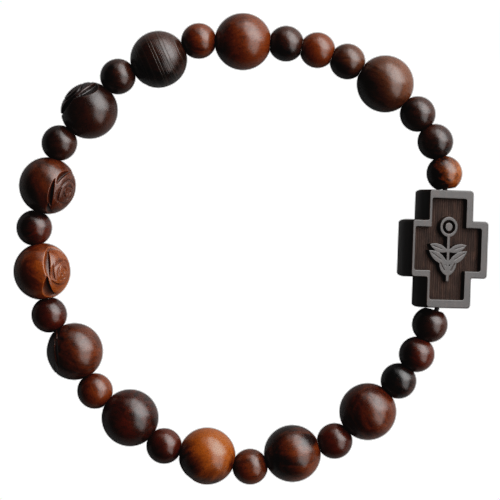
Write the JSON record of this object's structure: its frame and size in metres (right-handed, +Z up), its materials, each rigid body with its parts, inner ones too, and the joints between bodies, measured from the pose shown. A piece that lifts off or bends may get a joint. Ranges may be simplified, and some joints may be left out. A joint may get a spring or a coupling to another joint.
{
  "type": "rosary bracelet",
  "caption": "Stretch rosary bracelet of polished dark wooden beads, some carved with a rose, and a flat wooden cross with a raised leaf spray, lying in a loop on a table.",
  "frame": {"origin": "on the table, under the middle of the loop", "axes": "+X towards the cross, +Y up the picture, +Z up from the table"},
  "size_m": [0.0668, 0.0664, 0.0092],
  "materials": {
    "cross_wood": "smooth, waxed near-black wood, with a dull brown engraved field",
    "small_bead_wood": "polished dark red-brown wood",
    "our_father_wood": "polished dark red-brown wood",
    "rose_bead_wood": "polished red-brown wood, carved on one side",
    "elastic": "smooth dark elastic cord"
  },
  "bodies": {
    "root": {"cross_bead": "cross_wood", "small_bead_01": "small_bead_wood", "small_bead_02": "small_bead_wood", "small_bead_03": "small_bead_wood", "our_father_bead": "our_father_wood", "small_bead_04": "small_bead_wood", "small_bead_05": "small_bead_wood", "small_bead_06": "small_bead_wood", "rose_bead_01": "rose_bead_wood", "small_bead_07": "small_bead_wood", "rose_bead_02": "rose_bead_wood", "small_bead_08": "small_bead_wood", "rose_bead_03": "rose_bead_wood", "small_bead_09": "small_bead_wood", "rose_bead_04": "rose_bead_wood", "small_bead_10": "small_bead_wood", "rose_bead_05": "rose_bead_wood", "small_bead_11": "small_bead_wood", "rose_bead_06": "rose_bead_wood", "small_bead_12": "small_bead_wood", "rose_bead_07": "rose_bead_wood", "small_bead_13": "small_bead_wood", "rose_bead_08": "rose_bead_wood", "small_bead_14": "small_bead_wood", "rose_bead_09": "rose_bead_wood", "small_bead_15": "small_bead_wood", "rose_bead_10": "rose_bead_wood", "small_bead_16": "small_bead_wood", "small_bead_17": "small_bead_wood", "small_bead_18": "small_bead_wood", "elastic_cord": "elastic"}
  },
  "joints": []
}
